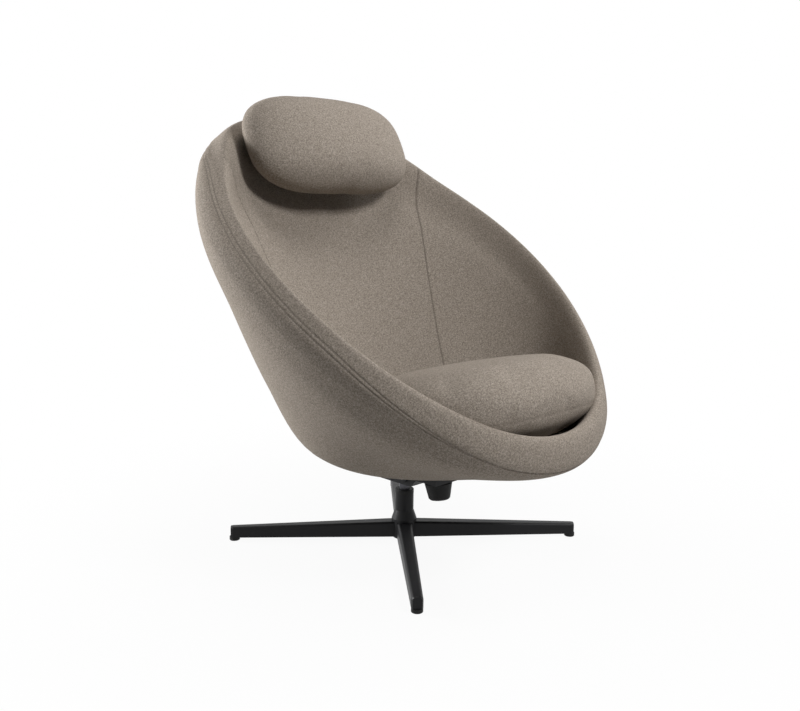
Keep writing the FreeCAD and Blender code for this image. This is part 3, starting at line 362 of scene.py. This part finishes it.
sole = oval(0.273, 0, 0.289, 0, 0.278, 0.51)
keel = oval(0.538, 0.025, 0.46, 0.109, 0.579, 0.51)
hip = oval(0.708, 0.045, 0.673, 0.365, 0.741, 0.51)
flank = oval(0.936, 0.073, 0.864, 0.687, 0.912, 0.52)
shoulder = oval(0.982, 0.088, 1, 0.92, 0.99, 0.53)
seam = oval(1, 0.108, 0.96, 1, 1, 0.53)
brow = oval(0.989, 0.184, 0.869, 0.972, 0.935, 0.52)
outer_levels = [sole, keel, hip, flank, shoulder, seam, brow]
inner_levels = [
    drawn_in(brow, 0.017),
    oval(0.907, 0.161, 0.782, 0.877, 0.861, 0.51),
    oval(0.888, 0.151, 0.667, 0.755, 0.829, 0.51),
    oval(0.879, 0.147, 0.5, 0.555, 0.780, 0.51),
    oval(0.872, 0.144, 0.333, 0.355, 0.724, 0.51),
    oval(0.866, 0.142, 0.196, 0.201, 0.664, 0.51),
    oval(0.847, 0.139, 0.1, 0.104, 0.607, 0.51),
]
rim_centre = (4.622, -5.710)
rim_radius = 7.848
oval_bend = math.sqrt(0.5) / (math.sqrt(2) - 1)


def oval_point(level, heading):
    """The point of a level's oval, seen from inside it at a heading from the back."""
    front_y, front_z, back_y, back_z, width, belly = level
    slope = math.atan2(back_z - front_z, back_y - front_y)
    length = math.hypot(back_y - front_y, back_z - front_z)
    ahead = length * belly
    along = math.cos(heading)
    across = math.sin(heading)
    end = length - ahead if along > 0 else ahead
    if abs(along) > math.sqrt(0.5):
        radius = end - (end - width) * oval_bend
        middle = ahead + math.copysign(1, along) * (end - radius)
        offset = 0
    else:
        radius = width + (end - width) * oval_bend
        middle = ahead
        offset = math.copysign(1, across) * (width - radius)
    reach = middle + radius * along
    return Vector((offset + radius * across, front_y + reach * math.cos(slope),
                   front_z + reach * math.sin(slope)))


def skin(levels, place, heading):
    """The bowl's skin at a place counted along its levels, on a smooth curve through them."""
    last = len(levels) - 1
    start = min(int(place), last - 1)
    first = oval_point(levels[start], heading)
    second = oval_point(levels[start + 1], heading)
    before = oval_point(levels[start - 1], heading) if start else first * 2 - second
    after = second * 2 - first
    if start + 2 <= last:
        after = oval_point(levels[start + 2], heading)
    pace = (second - first).length ** 0.5
    pace_before = (first - before).length ** 0.5
    pace_after = (after - second).length ** 0.5
    leaving = ((first - before) / pace_before - (second - before) / (pace_before + pace)
               + (second - first) / pace) * pace
    arriving = ((second - first) / pace - (after - first) / (pace + pace_after)
                + (after - second) / pace_after) * pace
    share = place - start
    turned = share * share * (3 - 2 * share)
    return (first * (1 - turned) + second * turned + leaving * (share * (1 - share) ** 2)
            - arriving * (share * share * (1 - share)))


def above_rim(point):
    """How far a point lies outside the bowed face that cuts the rim."""
    return math.hypot(point.y - rim_centre[0], point.z - rim_centre[1]) - rim_radius


def crossing(levels, heading, low, high):
    """The place where the skin meets the bowed face of the rim."""
    start = above_rim(skin(levels, low, heading))
    for _ in range(20):
        middle = (low + high) / 2
        if above_rim(skin(levels, middle, heading)) * start > 0:
            low = middle
        else:
            high = middle
    return low


# Inside, a seam on each side parts the back from the wings. It leans in towards the seat, and
# the columns of the mesh lean with it.
seam_foot = 0.108
seam_lean = 0.21


def past_seam(place, heading):
    """How far the skin inside lies beyond the seam's leaning plane."""
    point = skin(inner_levels, place, heading)
    return abs(point.x) - seam_foot - seam_lean * point.z


def seam_heading(place):
    """The heading at which the skin inside meets the seam's plane."""
    low = math.radians(20)
    high = math.radians(75)
    for _ in range(18):
        middle = (low + high) / 2
        if past_seam(place, middle) > 0:
            high = middle
        else:
            low = middle
    return low


seam_start = 0.5
seam_step = 0.05
seam_turns = [seam_heading(seam_start + step * seam_step) for step in range(112)]
rim_seam = seam_turns[0]


def leaning(heading, place):
    """A heading of the rim, leant with the seam at a place inside."""
    last_turn = len(seam_turns) - 1.1
    step, share = divmod(max(0.0, min((place - seam_start) / seam_step, last_turn)), 1)
    turn = seam_turns[int(step)] * (1 - share) + seam_turns[int(step) + 1] * share
    side = min(heading, 2 * math.pi - heading)
    if side < rim_seam:
        side = side * turn / rim_seam
    else:
        side = math.pi - (math.pi - side) * (math.pi - turn) / (math.pi - rim_seam)
    return side if heading < math.pi else 2 * math.pi - side


# The mesh's columns are even all round, but for closer ones at the furrows of these seams:
# for each column from the seam's middle outwards, its share of the depth and its painted
# shade.
groove_width = 0.0024
groove_depth = 0.0022
groove_depth_and_painted_shade = {0: (1.0, 0.5), 1: (0.3, 0.1), 2: (-0.12, 0.1)}
seam_radius = 0.3
groove_turn = groove_width / seam_radius
plain_columns = 180
headings = [2 * math.pi * column / plain_columns for column in range(plain_columns)]
for middle in (rim_seam, 2 * math.pi - rim_seam):
    headings = [heading for heading in headings if abs(heading - middle) > 2.2 * groove_turn]
    headings += [middle + step * groove_turn for step in (-2, -1, -0.5, 0, 0.5, 1, 2)]
headings.sort()

# The double-stitched seam below the edge: how far down, and how deep the cover is drawn in.
# It dips on the flanks, and at the front it turns in under the bowl.
stitch_rows = (0.0102, 0.0042)
edge_rows = [(0.0150, 0), (0.0120, 0)]
for row in stitch_rows:
    edge_rows += [(row + 0.0013, 0.0003), (row, 0.0013), (row - 0.0013, 0.0003)]
    edge_rows.append((row - 0.0030, -0.0002))
# Painted shade along the two stitched rows: how dark it is, fading out towards the front.
stitched_painted_shade = 0.45
band_height = 0.018
dip_behind = 0.002
dip_beside = 0.004
dip_ahead = 0.055
dip_start = 0.35

# The cover's way over the rim: how many steps the mesh takes on each stretch, how full it
# turns, how far the foam lifts and bulges it at the sides, and how soft the inner edge is.
outer_steps = 46
dip_steps = 8
roll_steps = 24
outer_fullness = 0.38
inner_fullness = 0.95
side_fullness = 0.25
side_lift = 0.013
side_bulge = 0.004
lift_reach = 0.045
back_softness = 0.030
side_softness = 0.008
inner_steps = 50


def dip(heading):
    """How much lower the seam lies at a heading than behind the headrest."""
    ahead = max(0.0, -math.cos(heading) - dip_start) / (1 - dip_start)
    return dip_behind + dip_beside * (1 - math.cos(heading)) + dip_ahead * ahead ** 1.5


def rolled(start, rising, end, sinking, share):
    """A point of the cover's turn over the rim, from the skin outside to the one inside."""
    rest = 1 - share
    return (start * rest ** 3 + (start + rising) * (3 * rest ** 2 * share)
            + (end - sinking) * (3 * rest * share ** 2) + end * share ** 3)


def section(heading):
    """The bowl's skin at one heading, from the sole over the rim to the deck."""
    nearby = 0.05
    just_below = 0.02
    edge_place = crossing(outer_levels, heading, 3, 6)
    lip_place = crossing(inner_levels, heading, 0, 2)
    edge = skin(outer_levels, edge_place, heading)
    lip = skin(inner_levels, lip_place, heading)
    outward = (edge - lip).normalized()
    behind = max(0.0, math.cos(heading)) ** 2
    softness = side_softness + (back_softness - side_softness) * behind
    inner_pace = (lip - skin(inner_levels, lip_place + nearby, heading)).length / nearby
    lip_place += softness / inner_pace
    lip = skin(inner_levels, lip_place, leaning(heading, max(lip_place, seam_start)))
    below = skin(inner_levels, lip_place + just_below,
                 leaning(heading, max(lip_place + just_below, seam_start)))
    before = skin(outer_levels, edge_place - nearby, heading)
    pace = (edge - before).length / nearby
    drop = dip(heading)
    upward = Vector((0, edge.y - rim_centre[0], edge.z - rim_centre[1])).normalized()
    beside = math.sin(heading) ** 2

    def raised(distance):
        """The skin outside at a distance below the edge, filled out by the foam in the rim."""
        share = max(0.0, 1 - distance / lift_reach)
        lift = side_lift * beside * share * share * (3 - 2 * share)
        bulge = side_bulge * beside * math.sin(math.pi * share) ** 2
        return (skin(outer_levels, edge_place - distance / pace, heading)
                + upward * lift + outward * bulge)

    whole = edge_place * pace
    wall = whole - band_height - drop
    points = [raised(whole - wall * step / outer_steps) for step in range(outer_steps + 1)]
    for distance, sink in edge_rows:
        points.append(raised(distance + drop) - outward * sink)
    for step in range(1, dip_steps + 1):
        points.append(raised(drop * (1 - step / dip_steps)))
    edge = points[-1]
    width = (edge - lip).length
    rising = (edge - raised(0.003)).normalized() * (width * outer_fullness)
    sinking = (below - lip).normalized()
    sinking *= width * (inner_fullness + side_fullness * beside)
    for step in range(1, roll_steps + 1):
        points.append(rolled(edge, rising, lip, sinking, step / roll_steps))
    last = len(inner_levels) - 1
    for step in range(1, inner_steps + 1):
        place = lip_place + (last - lip_place) * step / inner_steps
        points.append(skin(inner_levels, place, leaning(heading, max(place, seam_start))))
    return points


def rings_of(made, kind):
    """The verts, or the ring of edges, that an extrusion has made."""
    verts = [item for item in made if isinstance(item, bmesh.types.BMVert)]
    if kind is bmesh.types.BMVert:
        return verts
    ring = set(verts)
    return [item for item in made if isinstance(item, bmesh.types.BMEdge)
            and ring.issuperset(item.verts)]


def bowl_mesh(sections):
    """The closed skin of the bowl: a ring drawn up through the sections, closed at both ends,
    with the furrows of the seams pressed in and, like the stitched rows, marked for painted
    shade."""
    bm = bmesh.new()
    column = bm.verts.layers.int.new("column")
    seam_painted_shade = bm.verts.layers.float.new("seam_painted_shade")
    bmesh.ops.create_circle(bm, segments=len(headings), radius=1)
    bm.verts.ensure_lookup_table()
    for number, vert in enumerate(bm.verts):
        vert[column] = number
        vert.co = sections[number][0]
    first = list(bm.edges)
    edges = first
    for ring in range(1, len(sections[0])):
        made = bmesh.ops.extrude_edge_only(bm, edges=edges)["geom"]
        edges = rings_of(made, bmesh.types.BMEdge)
        for vert in rings_of(made, bmesh.types.BMVert):
            vert.co = sections[vert[column]][ring]
    bmesh.ops.recalc_face_normals(bm, faces=bm.faces)
    bm.normal_update()
    seams = [min(range(len(headings)), key=lambda number: abs(headings[number] - middle))
             for middle in (rim_seam, 2 * math.pi - rim_seam)]
    rim_middle = outer_steps + len(edge_rows) + dip_steps + roll_steps // 2
    stitched = [outer_steps + 1 + number for number, (distance, sink) in enumerate(edge_rows)
                if distance in stitch_rows]
    bm.verts.ensure_lookup_table()
    # The furrows' verts and the stitched rows take a painted shade value, which darkens the
    # wool there.
    for number, vert in enumerate(bm.verts):
        reach = min(abs(vert[column] - middle) for middle in seams)
        ring = number // len(headings)
        if reach in groove_depth_and_painted_shade and ring > rim_middle:
            depth, shade = groove_depth_and_painted_shade[reach]
            vert.co -= vert.normal * (groove_depth * depth)
            vert[seam_painted_shade] = shade
        if ring in stitched:
            ahead = max(0.0, -math.cos(headings[vert[column]]))
            vert[seam_painted_shade] = stitched_painted_shade * (1 - ahead)
    for loop in (first, edges):
        for scale in (0.8, 0.6, 0.4, 0.2):
            made = bmesh.ops.extrude_edge_only(bm, edges=loop)["geom"]
            verts = rings_of(made, bmesh.types.BMVert)
            loop = rings_of(made, bmesh.types.BMEdge)
            centre = sum((vert.co for vert in verts), Vector()) / len(verts)
            for vert in verts:
                vert.co = centre + (vert.co - centre) * (scale / (scale + 0.2))
        bmesh.ops.edgeloop_fill(bm, edges=loop)
    bmesh.ops.recalc_face_normals(bm, faces=bm.faces)
    return bm


bowl_sections = [section(heading) for heading in headings]
bowl = finished("bowl_upholstery", bowl_mesh(bowl_sections), taupe_wool)
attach(bowl, "seat")
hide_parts("shell_body")

# Stitches of the double seam: two rows of short stitches in a thread a shade lighter than
# the cover, lying in the furrows that they draw into it below the edge of the bowl.
stitch_pitch = 0.0048
stitch_length = 0.0034
thread_radius = 0.00038


def stitch_row(bm, ring):
    """Short straight stitches at an even pitch along one ring of the bowl's sections."""
    gone = 0.0
    for start, end in zip(ring, ring[1:] + ring[:1]):
        stretch = end - start
        turn = stretch.to_track_quat("Z", "Y").to_matrix().to_4x4()
        while gone < stretch.length:
            place = start + stretch * (gone / stretch.length)
            bmesh.ops.create_cone(
                bm, cap_ends=True, segments=6, radius1=thread_radius, radius2=thread_radius,
                depth=stitch_length, matrix=Matrix.Translation(place) @ turn)
            gone += stitch_pitch
        gone -= stretch.length


seam_thread = grained("seam_thread", (0.20, 0.172, 0.145), (0.30, 0.262, 0.225),
                      0.6, 0.8, 3000, 0.00005)
stitches_bm = bmesh.new()
for number, (distance, sink) in enumerate(edge_rows):
    if distance in stitch_rows:
        stitch_row(stitches_bm, [points[outer_steps + 1 + number] for points in bowl_sections])
stitches = finished("rim_stitches", stitches_bm, seam_thread)
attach(stitches, "seat")

# Seat cushion: a loose crowned cushion of soft foam in the same wool, flat where it rests on
# the deck. Its cover is closed by one seam that runs round below the widest part of its side.
deck_height = 0.2675
deck_slope = -0.062
voxel = 0.0055
cloth_steps = 20
worn = 6
eased = 16


def settled(piece):
    """Take what the piece's modifiers have made of it as its own mesh."""
    graph = bpy.context.evaluated_depsgraph_get()
    mesh = bpy.data.meshes.new_from_object(piece.evaluated_get(graph))
    piece.modifiers.clear()
    piece.data = mesh


def smoothed(piece, times):
    """Ease the piece's surface, each point towards its neighbours."""
    bm = bmesh.new()
    bm.from_mesh(piece.data)
    for _ in range(times):
        bmesh.ops.smooth_vert(bm, verts=bm.verts, factor=0.5, use_axis_x=True,
                              use_axis_y=True, use_axis_z=True)
    bm.to_mesh(piece.data)
    bm.free()


def evened(piece, times):
    """Remake a closed piece as an even mesh with its edges worn round."""
    remesh = piece.modifiers.new("Remesh", "REMESH")
    remesh.mode = "VOXEL"
    remesh.voxel_size = voxel
    settled(piece)
    smoothed(piece, times)
    return piece


def pillow_skin(name, half, outline_power, side_power, middle, slope, deck=0.0):
    """A closed pillow: squarish in outline, round across its thickness, flat on a deck."""
    bm = bmesh.new()
    bmesh.ops.create_cube(bm, size=2)
    bmesh.ops.subdivide_edges(bm, edges=bm.edges, cuts=44, use_grid_fill=True)
    turn = Matrix.Rotation(slope, 3, "X")
    for vert in bm.verts:
        across, along, over = [abs(part) for part in vert.co]
        outline = (across ** outline_power + along ** outline_power) ** (1 / outline_power)
        size = (outline ** side_power + over ** side_power) ** (1 / side_power)
        vert.co = middle + turn @ Vector([part * reach / size
                                          for part, reach in zip(vert.co, half)])
        vert.co.z = max(vert.co.z, deck + deck_slope * vert.co.y)
    bmesh.ops.recalc_face_normals(bm, faces=bm.faces)
    return evened(finished(name, bm, taupe_wool), worn)


def stuffed(piece, draw_in, pressure, most):
    """Draw the cover in and blow it up again as cloth, no further than most."""
    bm = bmesh.new()
    bm.from_mesh(piece.data)
    bm.normal_update()
    for vert in bm.verts:
        vert.co -= vert.normal * draw_in
    bm.to_mesh(piece.data)
    bm.free()
    start = [vert.co.copy() for vert in piece.data.vertices]
    cloth = piece.modifiers.new("Cloth", "CLOTH")
    cloth.settings.use_pressure = True
    cloth.settings.uniform_pressure_force = pressure
    cloth.settings.effector_weights.gravity = 0
    cloth.settings.quality = 4
    cloth.point_cache.frame_end = cloth_steps
    for step in range(1, cloth_steps + 1):
        bpy.context.scene.frame_set(step)
    settled(piece)
    bpy.context.scene.frame_set(1)
    for vert, place in zip(piece.data.vertices, start):
        shift = vert.co - place
        if shift.length > most:
            vert.co = place + shift.normalized() * most
    smoothed(piece, eased)


def subdivided(piece):
    """Give the piece a mesh twice as fine."""
    soften = piece.modifiers.new("Subdivision", "SUBSURF")
    soften.levels = 1
    soften.render_levels = 1
    settled(piece)
    piece.data.shade_smooth()


def seamed(piece, middle, normal, depth, width):
    """Draw the cover in along a plane, where the two halves of the cover are sewn."""
    bm = bmesh.new()
    bm.from_mesh(piece.data)
    bm.normal_update()
    for vert in bm.verts:
        away = (vert.co - middle).dot(normal) / width
        vert.co -= vert.normal * (depth * math.exp(-away * away))
    bm.to_mesh(piece.data)
    bm.free()
    piece.data.shade_smooth()


def plane_normal(slope):
    """The direction across a plane that rises to the back by a slope."""
    return Vector((0, -math.sin(slope), math.cos(slope)))


cushion_middle = Vector((0, -0.2135, 0.344))
cushion_slope = math.radians(-11.8)
cushion_half = (0.277, 0.2, 0.0845)
cushion_seam = cushion_middle - Vector((0, 0, 0.027))
cushion = pillow_skin("seat_cushion_cover", cushion_half, 2.4, 3.2, cushion_middle,
                      cushion_slope, deck_height)
stuffed(cushion, 0.004, 3.5, 0.008)
subdivided(cushion)
seamed(cushion, cushion_seam, plane_normal(cushion_slope), 0.0008, 0.003)
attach(cushion, "seat")
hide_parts("seat_cushion")

# Headrest: a plump pillow in the same wool, slid up and down in front of the bowl's back. A
# seam joins the two halves of its cover just behind its middle.
pillow_middle = Vector((0, 0.2575, 0.875))
pillow_slope = math.radians(63)
pillow_half = (0.232, 0.1225, 0.0735)
pillow_seam = pillow_middle + Vector((0, 0.012, 0))
pillow = pillow_skin("headrest_cover", pillow_half, 3.0, 2.25, pillow_middle, pillow_slope)
stuffed(pillow, 0.004, 3.5, 0.008)
subdivided(pillow)
seamed(pillow, pillow_seam, plane_normal(pillow_slope), 0.0008, 0.003)
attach(pillow, "headrest")
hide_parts("headrest")

# Grip pad: a block of foam faced with black pile, between the bowl's back and the headrest,
# which it holds by friction wherever the headrest is slid to.
grip_pile = woven("grip_pile", (0.006, 0.006, 0.006), (0.014, 0.014, 0.014),
                  (0.03, 0.03, 0.03), yarns=900, relief=0.0006)
grip_bm = bmesh.new()
grip_bm.from_mesh(nodes["headrest_grip"].data)
bmesh.ops.remove_doubles(grip_bm, verts=grip_bm.verts, dist=0.00005)
grip = evened(finished("headrest_grip_pad", grip_bm, grip_pile), worn)
stuffed(grip, 0.0, 0.5, 0.002)
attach(grip, "seat")
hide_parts("headrest_grip")

# Studio: the camera where the photographer stood, a soft lamp to its right, one above, one
# behind on the right and one at the left edge, and a white backdrop that gives little light.
camera_place = Vector((-1.3860, -1.3676, 0.7422))
camera_pitch = math.radians(9.454)
camera_heading = math.radians(-45)
camera_roll = math.radians(0.595)
camera_data = bpy.data.cameras.new("camera")
camera_data.sensor_width = 36
camera_data.lens = 40.5
camera = bpy.data.objects.new("camera", camera_data)
turn = (Matrix.Rotation(camera_heading, 4, "Z")
        @ Matrix.Rotation(math.pi / 2 - camera_pitch, 4, "X")
        @ Matrix.Rotation(camera_roll, 4, "Z"))
camera.matrix_world = Matrix.Translation(camera_place) @ turn
bpy.context.scene.collection.objects.link(camera)
bpy.context.scene.camera = camera

forward = Vector((math.sin(-camera_heading), math.cos(camera_heading), 0))
rightward = Vector((forward.y, -forward.x, 0))


def soft_lamp(name, side, ahead, height, size, power):
    """A square lamp placed as the camera sees it, turned to the seat."""
    data = bpy.data.lights.new(name, "AREA")
    data.shape = "SQUARE"
    data.size = size
    data.energy = power
    lamp = bpy.data.objects.new(name, data)
    target = Vector((0, 0, 0.55))
    lamp.location = rightward * side + forward * ahead + Vector((0, 0, height))
    lamp.rotation_euler = (target - lamp.location).to_track_quat("-Z", "Y").to_euler()
    bpy.context.scene.collection.objects.link(lamp)


soft_lamp("key_lamp", 1.9, -1.5, 2.4, 0.7, 60)
soft_lamp("edge_lamp", -2.5, 0.5, 1.1, 0.9, 85)
soft_lamp("back_lamp", 2.0, 1.4, 2.4, 1.0, 36)
soft_lamp("top_lamp", 0.3, -0.3, 3.3, 1.0, 24)

world = bpy.data.worlds.new("studio")
bpy.context.scene.world = world
world.use_nodes = True
tree = world.node_tree
tree.nodes.clear()
room_light = tree.nodes.new("ShaderNodeBackground")
room_light.inputs["Color"].default_value = (1, 1, 1, 1)
room_light.inputs["Strength"].default_value = 0.05
white = tree.nodes.new("ShaderNodeBackground")
white.inputs["Color"].default_value = (1, 1, 1, 1)
white.inputs["Strength"].default_value = 1.0


def seen_directly(tree):
    """One where the camera, a reflection or glass looks straight at it."""
    path = tree.nodes.new("ShaderNodeLightPath")
    gloss = tree.nodes.new("ShaderNodeMath")
    gloss.operation = "MAXIMUM"
    through = tree.nodes.new("ShaderNodeMath")
    through.operation = "MAXIMUM"
    tree.links.new(path.outputs["Is Camera Ray"], gloss.inputs[0])
    tree.links.new(path.outputs["Is Glossy Ray"], gloss.inputs[1])
    tree.links.new(gloss.outputs[0], through.inputs[0])
    tree.links.new(path.outputs["Is Transmission Ray"], through.inputs[1])
    return through.outputs[0]


sky = tree.nodes.new("ShaderNodeMixShader")
leave = tree.nodes.new("ShaderNodeOutputWorld")
tree.links.new(seen_directly(tree), sky.inputs[0])
tree.links.new(room_light.outputs[0], sky.inputs[1])
tree.links.new(white.outputs[0], sky.inputs[2])
tree.links.new(sky.outputs[0], leave.inputs["Surface"])

# Floor: a pale matt sheet that takes the chair's shadow. Looked at straight on it is white,
# and a touch greyer right under the chair.
floor_bm = bmesh.new()
bmesh.ops.create_grid(floor_bm, x_segments=1, y_segments=1, size=12)
floor_white = bpy.data.materials.new("floor_white")
floor_white.use_nodes = True
tree = floor_white.node_tree
matt = tree.nodes["Principled BSDF"]
matt.inputs["Base Color"].default_value = (0.5, 0.5, 0.5, 1)
matt.inputs["Roughness"].default_value = 0.9
glow = tree.nodes.new("ShaderNodeEmission")
glow.inputs["Color"].default_value = (1, 1, 1, 1)
glow.inputs["Strength"].default_value = 1.0
spot = tree.nodes.new("ShaderNodeTexCoord")
away = tree.nodes.new("ShaderNodeVectorMath")
away.operation = "LENGTH"
fade = tree.nodes.new("ShaderNodeMapRange")
fade.interpolation_type = "SMOOTHSTEP"
fade.inputs["From Min"].default_value = 0.1
fade.inputs["From Max"].default_value = 1.3
fade.inputs["To Min"].default_value = 0.94
fade.inputs["To Max"].default_value = 1.0
share = tree.nodes.new("ShaderNodeMath")
share.operation = "MULTIPLY"
blend = tree.nodes.new("ShaderNodeMixShader")
tree.links.new(spot.outputs["Object"], away.inputs[0])
tree.links.new(away.outputs["Value"], fade.inputs["Value"])
tree.links.new(seen_directly(tree), share.inputs[0])
tree.links.new(fade.outputs["Result"], share.inputs[1])
tree.links.new(share.outputs[0], blend.inputs[0])
tree.links.new(matt.outputs[0], blend.inputs[1])
tree.links.new(glow.outputs[0], blend.inputs[2])
tree.links.new(blend.outputs[0], tree.nodes["Material Output"].inputs["Surface"])
floor = finished("floor", floor_bm, floor_white)

bpy.context.scene.view_settings.view_transform = "Standard"
